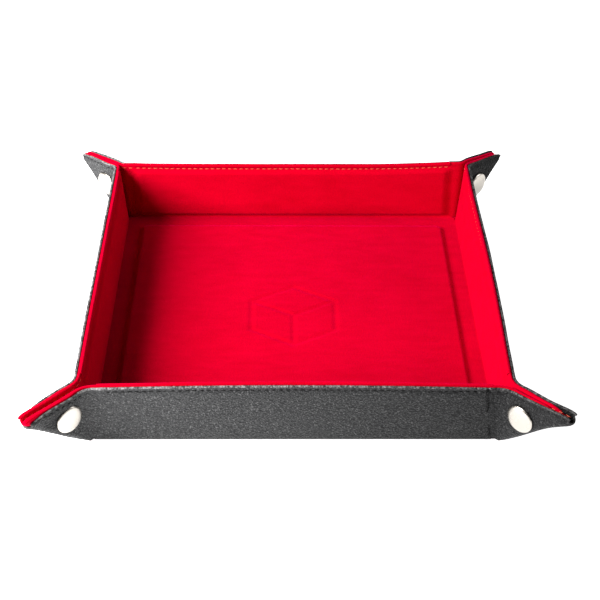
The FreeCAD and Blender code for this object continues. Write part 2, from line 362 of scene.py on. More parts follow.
def finish_mesh(mesh):
    """Outward normals, smooth shading with sharp ends, and the rest place for the materials."""
    work = bmesh.new()
    work.from_mesh(mesh)
    bmesh.ops.remove_doubles(work, verts=work.verts, dist=MERGE_DISTANCE)
    bmesh.ops.recalc_face_normals(work, faces=work.faces)
    work.to_mesh(mesh)
    work.free()
    for polygon in mesh.polygons:
        polygon.use_smooth = True
    mesh.set_sharp_from_angle(angle=SHARP_ANGLE)
    store_rest(mesh)


def store_rest(mesh):
    """Each point's place at rest, which the materials' patterns follow."""
    rest = mesh.attributes.new("rest", "FLOAT_VECTOR", "POINT")
    places = np.empty(len(mesh.vertices) * 3, np.float32)
    mesh.vertices.foreach_get("co", places)
    rest.data.foreach_set("vector", places)


def ring_faces(rings, around, first=0):
    """Faces that join rings of points, with this many points around each."""
    starts = [first + i * around for i in range(rings)]
    return [(a + j, a + (j + 1) % around, b + (j + 1) % around, b + j)
            for a, b in zip(starts, starts[1:]) for j in range(around)]


def end_faces(rings, around, first=0):
    """Flat ends of the first and the last ring."""
    last = first + (rings - 1) * around
    return [tuple(range(first, first + around))[::-1], tuple(range(last, last + around))]


def around_axis(profile, centre, axis, reference, sides):
    """Rings of points about an axis, from (radius, height) pairs, starting off the reference."""
    side = np.cross(axis, reference)
    side /= np.linalg.norm(side)
    turns = np.linspace(0, 2 * math.pi, sides, endpoint=False)[:, None]
    circle = side * np.cos(turns) + np.cross(axis, side) * np.sin(turns)
    return np.concatenate([centre + axis * height + radius * circle for radius, height in profile])


def closed_sheet(name, outer, inner, angle, material, round_top=True):
    """A sheet with thickness from two grids of points.  The second index runs up to the rim."""
    steps = 6
    count, across = outer.shape[:2]
    rounding = []
    if round_top:
        middle = (outer[:, -1] + inner[:, -1]) / 2
        arm = outer[:, -1] - middle
        away = 2 * middle - outer[:, -2] - inner[:, -2]
        away /= np.linalg.norm(away, axis=1, keepdims=True) + 1e-12
        bulge = away * np.linalg.norm(arm, axis=1, keepdims=True)
        rounding = [(middle + arm * math.cos(turn) + bulge * math.sin(turn))[:, None]
                    for turn in np.linspace(0, math.pi, steps + 1)[1:-1]]
    loop = np.concatenate([outer, *rounding, inner[:, ::-1]], axis=1)
    around = loop.shape[1]
    faces = ring_faces(count, around)
    for first in (0, (count - 1) * around):
        last = first + around - 1
        faces += [(first + j, first + j + 1, last - j - 1, last - j) for j in range(across - 1)]
        if round_top:
            faces.append(tuple(range(first + across - 1, last - across + 2)))
    rim = np.zeros((count, around))
    rim[:, across:around - across] = 1
    return new_object(name, turned(loop.reshape(-1, 3), angle), faces, material, rim.reshape(-1))


def lines(*stops):
    """Grid lines: (place, step) pairs give the step used up to the next place."""
    places = []
    for (start, step), (end, _) in zip(stops, stops[1:]):
        count = max(1, round((end - start) / step))
        places.extend(np.linspace(start, end, count, endpoint=False))
    places.append(stops[-1][0])
    return np.array(places)


def symmetric(half_lines):
    return np.concatenate([-half_lines[:0:-1], half_lines])


# ---- materials ---------------------------
class Nodes:
    """A small helper for building one node material."""

    def __init__(self, name):
        self.material = bpy.data.materials.new(name)
        self.material.use_nodes = True
        self.tree = self.material.node_tree
        self.shader = self.tree.nodes["Principled BSDF"]
        rest = self.add("ShaderNodeAttribute", attribute_name="rest")
        self.place = rest.outputs["Vector"]

    def add(self, kind, inputs=None, **settings):
        node = self.tree.nodes.new(kind)
        for key, value in settings.items():
            setattr(node, key, value)
        for key, value in (inputs or {}).items():
            self.put(node.inputs[key], value)
        return node

    def put(self, socket, value):
        if isinstance(value, bpy.types.NodeSocket):
            self.tree.links.new(value, socket)
        elif socket.type == "RGBA" and len(value) == 3:
            socket.default_value = (*value, 1.0)
        else:
            socket.default_value = value

    def set(self, **inputs):
        for key, value in inputs.items():
            self.put(self.shader.inputs[key.replace("_", " ")], value)

    def noise(self, scale, detail, roughness=0.5, distortion=0.0, place=None):
        node = self.add("ShaderNodeTexNoise", {"Vector": place or self.place, "Scale": scale,
                        "Detail": detail, "Roughness": roughness, "Distortion": distortion})
        return node.outputs["Fac"]

    def cells(self, scale, place=None):
        node = self.add("ShaderNodeTexVoronoi", {"Vector": place or self.place, "Scale": scale})
        return node.outputs["Distance"]

    def stretched(self, along_x):
        node = self.add("ShaderNodeMapping", {"Vector": self.place, "Scale": (along_x, 1.0, 1.0)})
        return node.outputs["Vector"]

    def axes(self, place=None):
        return self.add("ShaderNodeSeparateXYZ", {"Vector": place or self.place}).outputs

    def ramp(self, value, *stops):
        node = self.add("ShaderNodeValToRGB", {"Fac": value})
        for element, (place, colour) in zip(node.color_ramp.elements, stops):
            element.position = place
            element.color = (*colour, 1.0)
        return node.outputs["Color"]

    def grey(self, value, low, high, from_low=0.0, from_high=1.0):
        node = self.add("ShaderNodeMapRange", {"Value": value, "From Min": from_low,
                        "From Max": from_high, "To Min": low, "To Max": high})
        return node.outputs["Result"]

    def math(self, operation, a, b=0.0):
        node = self.add("ShaderNodeMath", operation=operation)
        self.put(node.inputs[0], a)
        self.put(node.inputs[1], b)
        return node.outputs["Value"]

    def times(self, a, b):
        return self.math("MULTIPLY", a, b)

    def mix(self, factor, a, b, blend="MIX"):
        node = self.add("ShaderNodeMix", data_type="RGBA", blend_type=blend)
        self.put(node.inputs["Factor"], factor)
        self.put(node.inputs[6], a)
        self.put(node.inputs[7], b)
        return node.outputs[2]

    def bump(self, height, distance, strength, under=None):
        node = self.add("ShaderNodeBump", {"Height": height, "Distance": distance,
                                           "Strength": strength})
        if under is not None:
            self.put(node.inputs["Normal"], under)
        return node.outputs["Normal"]


def painted_skin_shading(n):
    """Painted light and shade on the skin, as a share of its full brightness: paler towards the
    lamp's side, darker away from it, and painted shade on two of the ears.
    """
    axes = n.axes()
    tone = n.grey(axes["X"], 0.97, 0.33, -0.07, 0.112)
    back_ear = n.times(n.grey(axes["X"], 0.0, 1.0, 0.088, 0.096),
                       n.grey(axes["Y"], 0.0, 1.0, 0.088, 0.096))
    front_ear = n.times(n.grey(axes["X"], 1.0, 0.0, -0.097, -0.085),
                        n.grey(axes["Y"], 1.0, 0.0, -0.104, -0.090))
    for ear, share in ((back_ear, 0.5), (front_ear, 0.45)):
        tone = n.times(tone, n.grey(ear, 1.0, share))
    return tone


def leather_material():
    """Pebble-grained dark leather: rounded cells about a millimetre across with fine pores."""
    n = Nodes("leather_grain")
    warp = n.add("ShaderNodeTexNoise", {"Vector": n.place, "Scale": 500.0, "Detail": 2.0})
    shifted = n.add("ShaderNodeVectorMath", operation="MULTIPLY_ADD")
    for socket, value in zip(shifted.inputs, (warp.outputs["Color"], [0.0009] * 3, n.place)):
        n.put(socket, value)
    pebbles = n.cells(1050.0, place=shifted.outputs["Vector"])
    large = n.cells(420.0, place=shifted.outputs["Vector"])
    pores = n.noise(5200.0, 2.0)
    height = n.math("SUBTRACT", 1.0, pebbles)
    mottled = n.noise(38.0, 4.0, 0.6)
    dust = n.noise(1250.0, 2.0, 0.6)
    base = n.ramp(height, (0.2, (0.003, 0.003, 0.004)), (0.85, (0.023, 0.023, 0.024)))
    base = n.mix(n.grey(mottled, 0.0, 0.25, 0.35, 0.75), base, (0.030, 0.030, 0.031))
    base = n.mix(n.grey(dust, 0.0, 0.8, 0.56, 0.72), base, (0.15, 0.15, 0.15))
    # the cut edge painted lighter grey: partly the edge's own grey, partly a painted highlight,
    # broken by noise into glint-like dashes
    cut_edge = n.add("ShaderNodeAttribute", attribute_name="rim").outputs["Fac"]
    painted_rim_glints = n.grey(n.noise(620.0, 2.0, 0.6), 0.15, 1.0, 0.42, 0.58)
    base = n.mix(n.times(cut_edge, painted_rim_glints), base, (0.22, 0.21, 0.21))
    # painted light and shade: the skin paler towards the lamp's side, darker away from it, and darker
    # on two shaded ears
    tone = painted_skin_shading(n)
    painted_shading_rgb = n.add("ShaderNodeCombineXYZ", {"X": tone, "Y": tone, "Z": tone}).outputs["Vector"]
    base = n.mix(1.0, base, painted_shading_rgb, "MULTIPLY")
    normal = n.bump(height, 0.0005, 0.9)
    normal = n.bump(large, 0.0002, 0.4, normal)
    normal = n.bump(pores, 0.00006, 0.5, normal)
    # the specular level follows the same painted shading
    n.set(Base_Color=base, Roughness=n.grey(height, 0.62, 0.44, 0.3, 0.9), Normal=normal,
          Specular_IOR_Level=n.times(tone, 0.36))
    return n.material


def painted_fold_shade(n):
    """Painted shade along the folds round the base, where the walls shade it, most at the front and
    on the left: how strongly it darkens the lining.
    """
    axes = n.axes()
    far_out = n.math("MAXIMUM", n.math("ABSOLUTE", axes["X"]), n.math("ABSOLUTE", axes["Y"]))
    fold_shade_amount = n.grey(far_out, 0.0, 0.26, HALF * MM - 0.020, HALF * MM - 0.002)
    fold_shade_amount = n.times(fold_shade_amount, n.grey(axes["X"], 1.0, 0.1, 0.04, 0.085))
    fold_shade_amount = n.math("ADD", fold_shade_amount, n.grey(axes["Y"], 0.32, 0.0, -0.078, -0.030))
    return n.times(fold_shade_amount, n.grey(axes["Z"], 1.0, 0.0, 0.005, 0.012))


def velvet_material():
    """Short red pile: a soft sheen at grazing angles over a matte, slightly mottled ground."""
    n = Nodes("velvet_pile")
    streak = n.noise(240.0, 5.0, 0.6, place=n.stretched(0.3))
    patch = n.noise(30.0, 3.0)
    pile = n.noise(3200.0, 2.0, 0.7)
    tufts = n.cells(2600.0)
    colour = n.ramp(streak, (0.3, (0.42, 0.0, 0.008)), (0.7, (0.49, 0.0, 0.012)))
    colour = n.mix(n.grey(patch, 0.0, 0.3, 0.4, 0.7), colour, (0.56, 0.0, 0.015))
    colour = n.mix(n.grey(pile, 0.0, 0.45, 0.5, 0.85), colour, (0.26, 0.0, 0.004))
    # painted shade: the lining darkened along the base's folds and its front strip, where the walls
    # shade it
    colour = n.mix(painted_fold_shade(n), colour, (0.10, 0.0, 0.001))
    normal = n.bump(tufts, 0.0002, 0.5)
    normal = n.bump(pile, 0.00018, 0.5, normal)
    n.set(Base_Color=colour, Roughness=0.95, Normal=normal, Specular_IOR_Level=0.01,
          Sheen_Weight=n.grey(streak, 0.45, 0.57, 0.3, 0.7), Sheen_Roughness=0.4,
          Sheen_Tint=(1.0, 0.0, 0.14))
    return n.material


def thread_material(name, dark, light, sheen):
    """Twisted sewing thread."""
    n = Nodes(name)
    fibres = n.noise(2600.0, 3.0, 0.7)
    twist = n.add("ShaderNodeTexWave", {"Vector": n.place, "Scale": 900.0, "Distortion": 1.5})
    n.set(Base_Color=n.ramp(fibres, (0.3, dark), (0.7, light)),
          Roughness=n.grey(fibres, 0.6, 0.85), Normal=n.bump(twist.outputs["Fac"], 0.0001, 0.6),
          Sheen_Weight=sheen, Specular_IOR_Level=0.2)
    return n.material


def metal_material(name, colour, low, high):
    """Plated metal with faint handling marks."""
    n = Nodes(name)
    smudge = n.noise(160.0, 4.0, 0.6)
    scratch = n.noise(900.0, 4.0, distortion=3.0)
    tone = n.mix(n.grey(smudge, 0.0, 0.5), colour, [0.93 * c for c in colour])
    n.set(Base_Color=tone, Metallic=1.0, Roughness=n.grey(smudge, low, high),
          Normal=n.bump(scratch, 0.00001, 0.25))
    return n.material


def board_material():
    """Grey pressed board with short fibres."""
    n = Nodes("grey_board")
    fibres = n.noise(1500.0, 4.0, place=n.stretched(0.25))
    flecks = n.cells(500.0)
    colour = n.ramp(fibres, (0.3, (0.20, 0.18, 0.15)), (0.75, (0.42, 0.38, 0.32)))
    colour = n.mix(n.grey(flecks, 0.35, 0.0, 0.0, 0.12), colour, (0.12, 0.11, 0.10))
    n.set(Base_Color=colour, Roughness=0.9, Normal=n.bump(fibres, 0.00008, 0.6))
    return n.material


def floor_material():
    """White table that glows a little, more towards one side, as in a light tent."""
    n = Nodes("white_table")
    texture = n.add("ShaderNodeTexNoise", {"Scale": 30.0, "Detail": 2.0})
    tone = n.ramp(texture.outputs["Fac"], (0.3, (0.90, 0.90, 0.90)), (0.7, (0.93, 0.93, 0.93)))
    across = n.axes(n.add("ShaderNodeTexCoord").outputs["Object"])["X"]
    n.set(Base_Color=tone, Roughness=0.9, Emission_Color=(1.0, 1.0, 1.0),
          Emission_Strength=n.grey(across, 1.3, 0.90, -0.25, 0.12))
    return n.material


LEATHER_SKIN = leather_material()
VELVET_PILE = velvet_material()
# outside thread: dark thread made near-black, partly painted shade of its stitch holes
DARK_THREAD_AND_HOLE_SHADE = thread_material("dark_thread_and_hole_shade", (0.002, 0.002, 0.002), (0.006, 0.006, 0.006), 0.0)
RED_THREAD = thread_material("rose_thread", (0.55, 0.05, 0.02), (0.74, 0.13, 0.06), 0.3)
CAP_METAL = metal_material("bright_cap", (0.44, 0.41, 0.37), 0.22, 0.34)
SNAP_METAL = metal_material("snap_nickel", (0.72, 0.70, 0.67), 0.22, 0.38)
SPRING_METAL = metal_material("spring_steel", (0.55, 0.55, 0.56), 0.25, 0.4)
BOARD = board_material()
# each slot's material, and the last word of its walls' names
LAYERS = {"leather": (LEATHER_SKIN, "skin"), "velvet": (VELVET_PILE, "lining"),
          "board": (BOARD, "stiffener")}


def piece(obj, slot, *nodes):
    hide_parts(*nodes)


# ---- base --------------------------------
def mesh_base_leather():
    edge = HALF - bottom_reach(0)
    places = symmetric(lines((0, 6), (80, 2), (edge, 1)))
    x, y = np.meshgrid(places, places, indexing="ij")
    bottom, top = (np.stack([x, y, np.full_like(x, z)], -1) for z in (0, LEATHER))
    obj = closed_sheet("base_leather_skin", bottom, top, 0, LEATHER_SKIN, round_top=False)
    piece(obj, "leather", "base_leather")
    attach(obj, "base")


def hexagon_mark(x, y):
    """Depth, 0 to 1, of a plain outline of a six-sided die pressed into the lining."""
    size, line, soft = 24.0, 1.2, 1.2
    corners = [np.array([math.sin(a), math.cos(a)]) * size
               for a in np.radians(np.arange(0, 360, 60))]
    segments = [(corners[i], corners[(i + 1) % 6]) for i in range(6)]
    segments += [(np.zeros(2), corners[i]) for i in (1, 3, 5)]
    nearest = np.full_like(x, math.inf)
    for start, end in segments:
        along = end - start
        t = ((x - start[0]) * along[0] + (y - start[1]) * along[1]) / (along @ along)
        t = np.clip(t, 0, 1)
        gap = np.hypot(x - start[0] - t * along[0], y - start[1] - t * along[1])
        nearest = np.minimum(nearest, gap)
    return 1 - smooth(line / 2, line / 2 + soft, nearest)


def waves(x, y, seed, size):
    """Smooth pseudo-random undulation between about -1 and 1."""
    count = 7
    random = np.random.default_rng(seed)
    total = np.zeros(np.broadcast(x, y).shape)
    for _ in range(count):
        direction = random.uniform(0, 2 * math.pi)
        length = size * random.uniform(0.6, 1.6)
        phase = random.uniform(0, 2 * math.pi)
        total = total + np.sin((x * math.cos(direction) + y * math.sin(direction))
                               * 2 * math.pi / length + phase)
    return total / (count / 2)


def mesh_base_velvet():
    mark_depth, mark_shift = 0.28, 4
    ripple, ripple_size, ripple_seed = 0.10, 70, 5
    edge = HALF - bottom_reach(INNER)
    along_x, along_y = (symmetric(lines((0, 0.7), (29, 2), (76, 0.9), (board - 1, 0.35),
                                        (board + 3.4, 0.9), (edge, 1)))
                        for board in (BASE_BOARD_HALF_X, BASE_BOARD_HALF_Y))
    x, y = np.meshgrid(along_x, along_y, indexing="ij")
    # distance outside the board's rounded rectangle, negative over the board
    gap_x = np.abs(x) - BASE_BOARD_HALF_X + BASE_BOARD_CORNER
    gap_y = np.abs(y) - BASE_BOARD_HALF_Y + BASE_BOARD_CORNER
    beyond = np.hypot(np.maximum(gap_x, 0), np.maximum(gap_y, 0))
    beyond = beyond + np.minimum(np.maximum(gap_x, gap_y), 0) - BASE_BOARD_CORNER
    rise = BASE_TOP - SKIRT_TOP
    under = LEATHER + rise * (1 - smooth(0.1, 1.2, beyond))
    top = SKIRT_TOP + rise * (1 - smooth(-0.9, 2.4, beyond))
    flat_area = 1 - smooth(-6, 0, beyond)
    top = top + ripple * flat_area * waves(x, y, ripple_seed, ripple_size) \
        - mark_depth * hexagon_mark(x, y + mark_shift)
    obj = closed_sheet("base_velvet_lining", np.stack([x, y, under], -1),
                       np.stack([x, y, top], -1), 0, VELVET_PILE, round_top=False)
    piece(obj, "velvet", "base_velvet")
    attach(obj, "base")


def mesh_corner_pads():
    """The sheets' own corners on the table, where four folds meet under each ear."""
    radius, place, around = 5.1, HALF - 5.6, 48
    turns = np.linspace(0, 2 * math.pi, around, endpoint=False)
    # a square with rounded corners
    reach = (np.abs(np.cos(turns)) ** 7 + np.abs(np.sin(turns)) ** 7) ** (-1 / 7)
    levels = {"leather": (CLEARANCE, LEATHER), "velvet": (LEATHER + CLEARANCE, SKIRT_TOP - 0.25)}
    for _, angle, _, corner in WALLS:
        for sheet, (low, high) in levels.items():
            middle, arm = (low + high) / 2, (high - low) / 2
            rings = [(radius - arm + arm * math.cos(t), middle + arm * math.sin(t))
                     for t in np.linspace(math.pi / 2, -math.pi / 2, 9)]
            points = [(place + r * k * math.cos(a), -place + r * k * math.sin(a), z)
                      for r, z in rings for a, k in zip(turns, reach)]
            faces = ring_faces(len(rings), around) + end_faces(len(rings), around)
            obj = new_object(f"{corner}_base_corner_{sheet}", turned(np.array(points), angle),
                             faces, LAYERS[sheet][0])
            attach(obj, "base")


# ---- walls -------------------------------
def wall_grid(reach, *stops):
    """x and run of a wall's sheet between its ears: the bend at its foot, and lines up to the rim."""
    runs = np.concatenate([np.linspace(-reach, reach, 9), lines(*stops)])
    share = symmetric(lines((0, 0.05), (0.8, 0.02), (0.92, 0.006), (1, 0.01)))
    x = share[:, None] * ear_start_x(runs)[None, :]
    return x, np.broadcast_to(runs, x.shape)


def seam_dip(x, run):
    """Depth of the seam's groove, along the wall and round the ear's corner."""
    past_x, past_run = x - CORNER_CENTRE, run - WALL_RUN + CORNER_RADIUS
    in_corner = CORNER_RADIUS - np.hypot(np.maximum(past_x, 0), np.maximum(past_run, 0))
    from_edge = np.where((past_x > 0) & (past_run > 0), in_corner, WALL_RUN - run)
    return SEAM_DIP * np.exp(-((from_edge - WALL_RUN + SEAM_RUN) / SEAM_WIDTH) ** 2)


def board_rise(x, run, margin, slope, side_slope):
    """How far the wall's board lifts the lining: WALL_BOARD over the board, 0 past its edges."""
    low = smooth(WALL_BOARD_START - margin - slope, WALL_BOARD_START - margin, run)
    high = 1 - smooth(WALL_BOARD_END + margin, WALL_BOARD_END + margin + slope, run)
    side = 1 - smooth(WALL_BOARD_HALF + slope - side_slope, WALL_BOARD_HALF + slope, np.abs(x))
    return WALL_BOARD * low * high * side


def lining_rises(x, run):
    """How far a board lifts the lining's hidden face, close round it, and its pile."""
    return board_rise(x, run, 0.05, 1.0, 1.0), board_rise(x, run, -0.4, 2.2, 6.0)


def blend_ends(height):
    """Start and end points, in the front wall's section, of the bend about the wall's hinge."""
    reach = bottom_reach(height)
    out, up = fold_rigid(reach, height)
    return np.array([[0.0, -HALF + reach, MID + height], [0.0, -HALF - out, MID + up]])


def blend(obj, body_a, body_b, ends, angle):
    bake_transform(obj)


def wall_layer(wall, angle, layer, grid, low, high):
    """One layer of a wall between two heights above the leather's mid-surface."""
    material, ending = LAYERS[layer]
    outer, inner = (wall_points(wall, *grid, height) for height in (low, high))
    obj = closed_sheet(f"{wall}_wall_{layer}_{ending}", outer, inner, angle, material,
                       round_top=layer != "board")
    piece(obj, layer, f"{wall}_wall_{layer}")
    return obj


def bend_from_base(obj, wall, angle, height):
    body = f"{wall}_wall"
    blend(obj, "base", body, blend_ends(height), angle)


def leather_ripple(wall, angle, x, run):
    """Unevenness of a wall's skin, and the front one's creases at its ends."""
    ripple = LEATHER_RIPPLE * waves(x, run, angle + 11, 46) * smooth(2, 12, run) \
        * (1 - smooth(0.8, 1, np.abs(x) / HALF))
    if wall == "front":
        for end, depth, width in END_CREASES:
            place = end * (END_CREASE_PLACE - END_CREASE_LEAN * run / WALL_RUN)
            ripple = ripple + depth * np.exp(-((x - place) / width) ** 2) * smooth(0, 3, run)
    return ripple


def mesh_wall(wall, angle):
    # leather
    reach = bottom_reach(0)
    grid = wall_grid(reach, (reach + 0.6, 1.2), (27.2, 0.45),
                     (WALL_RUN - LEATHER_SHORTS[wall] - MID, 1))
    skin = wall_layer(wall, angle, "leather", grid,
                      OUTER + seam_dip(*grid) + leather_ripple(wall, angle, *grid),
                      BETWEEN - CLEARANCE)
    bend_from_base(skin, wall, angle, 0)
    # velvet
    reach = bottom_reach(INNER)
    x, run = wall_grid(reach, (reach + 0.3, 0.4), (5.8, 1.6), (26.6, 0.4),
                       (WALL_RUN - VELVET / 2, 1))
    hidden, pile = lining_rises(x, run)
    ripple = VELVET_RIPPLE * waves(x, run, angle + 12, 40) * smooth(4, 12, run)
    # the pile stands thicker beyond the seam, where nothing presses it
    puff = RIM_PUFF * (1 - smooth(0.9, 2.2, WALL_RUN - run))
    lining = wall_layer(wall, angle, "velvet", (x, run), BETWEEN + CLEARANCE + hidden,
                        INNER + pile + ripple - seam_dip(x, run) + puff)
    bend_from_base(lining, wall, angle, INNER - VELVET / 2)
    # board
    runs = np.linspace(WALL_BOARD_START, WALL_BOARD_END, 14)
    x = np.linspace(-WALL_BOARD_HALF, WALL_BOARD_HALF, 61)
    stiffener = wall_layer(wall, angle, "board", np.meshgrid(x, runs, indexing="ij"), BETWEEN,
                           BETWEEN + WALL_BOARD)
    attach(stiffener, f"{wall}_wall")
    stitches(f"{wall}_wall_stitches", wall_seam_places(wall), angle, f"{wall}_wall")


# ---- stitches ----------------------------
THREAD_SIDES = 8
THREAD_RINGS = 7


def thread(point, along, normal, length, radius):
    """Points of one stitch: a rounded bar along the seam, sunk at both ends."""
    side = np.cross(normal, along)
    points = []
    for t in np.linspace(-1, 1, THREAD_RINGS):
        width = radius * math.sqrt(max(1 - abs(t) ** 3.2, 0.02))
        lift = radius * 0.75 * (1 - t * t) - radius * 0.35
        centre = point + along * (t * length / 2) + normal * lift
        for a in np.linspace(0, 2 * math.pi, THREAD_SIDES, endpoint=False):
            points.append(centre + width * (side * math.cos(a) + normal * math.sin(a)))
    return points


def stitches(name, places, angle, body, other=None, ends=None):
    """Both rows of thread of one part of the seam: near-black outside, rose inside. The outside
    thread's near-black is partly painted shade of its stitch holes.
    """
    for side, material in (("outside", DARK_THREAD_AND_HOLE_SHADE), ("inside", RED_THREAD)):
        points, faces = [], []
        random = np.random.default_rng(len(name) + angle)
        for point, along, normal in places(side):
            tilt = random.normal(0, 0.05)
            direction = along * math.cos(tilt) + np.cross(normal, along) * math.sin(tilt)
            size = STITCH_LENGTH * random.uniform(0.92, 1.05)
            faces += ring_faces(THREAD_RINGS, THREAD_SIDES, len(points))
            faces += end_faces(THREAD_RINGS, THREAD_SIDES, len(points))
            points += thread(point, direction, normal, size, THREAD_RADII[side])
        obj = new_object(f"{name}_{side}", turned(np.array(points), angle), faces, material)
        if other:
            blend(obj, body, other, ends, angle)
        else:
            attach(obj, body)
            if side == "outside":
                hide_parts(f"{body}_seam")


def placed(path, surface, length):
    """Evenly spaced (point, along, normal) on a surface over a flat path of this length."""
    ahead, above = 0.05, 0.1
    count = int(length // STITCH_PITCH)
    spare = length - count * STITCH_PITCH
    found = []
    for i in range(count):
        s = spare / 2 + (i + 0.5) * STITCH_PITCH
        point = surface(*path(s), 0.0)
        along = surface(*path(s + ahead), 0.0) - point
        along /= np.linalg.norm(along)
        normal = surface(*path(s), above) - point
        normal /= np.linalg.norm(normal)
        found.append((point, along, normal))
    return found


def seam_places(path, length, face):
    """For either side, the stitches' places along a flat path; face gives a sheet's points."""
    def places(side):
        sign, level = SEAM_LEVELS[side]
        return placed(path, lambda x, run, lift: face(side, x, run, level + sign * lift), length)

    return places


def wall_seam_places(wall):
    end = ear_start_x(SEAM_RUN)
    return seam_places(lambda s: (s - end, SEAM_RUN), 2 * end,
                       lambda side, x, run, height: wall_points(wall, x, run, height))


# ---- ears --------------------------------
def rim_length(inset, first):
    """Along an ear half's rim, from its crease to the diagonal, at this inset from the edge."""
    return CORNER_CENTRE - first(WALL_RUN - inset) + (CORNER_RADIUS - inset) * math.pi / 4


def ear_boundary(share, inset, first):
    """Flat (x, run) at shares of that length."""
    radius = CORNER_RADIUS - inset
    rim = WALL_RUN - inset
    start = first(rim)
    straight = CORNER_CENTRE - start
    s = share * rim_length(inset, first)
    angle = math.pi / 2 - np.clip(s - straight, 0, None) / radius
    x = np.where(s < straight, start + s, CORNER_CENTRE + radius * np.cos(angle))
    run = np.where(s < straight, rim, rim - radius + radius * np.sin(angle))
    return x, run


def ear_patch(inset, foot, across, upward, first=ear_start_x):
    """A smooth grid of flat points over one ear half, from its crease line to its diagonal."""
    u = across[:, None]
    v = upward[None, :]
    top_x, top_run = ear_boundary(across, inset, first)
    setback = U_START * math.sqrt(2)
    # the rim's last point is pulled back to the line where the diagonal's bend starts
    over = np.maximum(top_x - HALF - top_run + setback, 0)
    top_x = top_x - over * smooth(0.5, 1.0, across)
    left_run = foot + (top_run[0] - foot) * upward
    left_x = first(left_run)
    end_foot = 1.0
    right_run = end_foot + (top_run[-1] - end_foot) * upward
    right_x = HALF + right_run - setback
    right_x = right_x + (top_x[-1] - right_x[-1]) * upward ** 6
    right_x = np.maximum(right_x, crease_x(right_run) + 0.8)
    bottom_x = left_x[0] + (right_x[0] - left_x[0]) * across
    bottom_run = left_run[0] + (right_run[0] - left_run[0]) * smooth(0, 0.02, across)
    grids = []
    for left, right, bottom, top in ((left_x, right_x, bottom_x, top_x),
                                     (left_run, right_run, bottom_run, top_run)):
        ruled = (1 - u) * left[None, :] + u * right[None, :]
        lofted = (1 - v) * bottom[:, None] + v * top[:, None]
        corners = ((1 - u) * (1 - v) * left[0] + u * (1 - v) * right[0]
                   + (1 - u) * v * left[-1] + u * v * right[-1])
        grids.append(ruled + lofted - corners)
    return grids


def across_crease():
    """Start and end of the bend about the crease between a wall and an ear's first half."""
    direction = np.array([1.0, 0.0, 0.0]) + OUT
    direction -= (direction @ CREASE_AXIS) * CREASE_AXIS
    direction /= np.linalg.norm(direction)
    before, after = CREASE_ZONE
    middle = CREASE + CREASE_AXIS * 10
    return middle - direction * before, middle + direction * after


CREASE_ENDS = across_crease()


def diagonal_ends(between):
    """Start and end of the bend about the fold between an ear's two halves."""
    centre = FOLD_AXIS_POINT + FOLD_AXIS * 20
    return centre - INWARD * between, centre + INWARD * between


def ear_levels(sheet, x, run):
    """Heights of a sheet's outer and inner face at flat points of an ear."""
    dip = seam_dip(x, run)
    if sheet == "leather":
        return OUTER + dip, BETWEEN - CLEARANCE
    hidden, pile = lining_rises(x, run)
    return BETWEEN + CLEARANCE + hidden, INNER - dip + pile


def ear_inset(corner, sheet, across):
    """How far a sheet stops inside the cut edge, with half its thickness for the rounding."""
    if sheet == "leather":
        sink = LEATHER_SHORT + LEATHER_SINKS[corner] * smooth(0.55, 1, across)
        return (BETWEEN - CLEARANCE - OUTER) / 2 + sink
    along_rim, at_tip = LINING_SINKS[corner]
    sink = along_rim * smooth(0.05, 0.35, across) + (at_tip - along_rim) * smooth(0.6, 1, across)
    return (INNER - BETWEEN - CLEARANCE) / 2 + sink


def ear_sheet(name, corner, sheet, faces, turn, angle):
    """A sheet of an ear from its outer and inner face; the lining's own face gapes less."""
    shares = (1.0, 1.0 if sheet == "leather" else GAPE_INSIDE)
    outer, inner = (gape(corner, face, turn, share) for face, share in zip(faces, shares))
    return closed_sheet(name, outer, inner, angle, LAYERS[sheet][0])


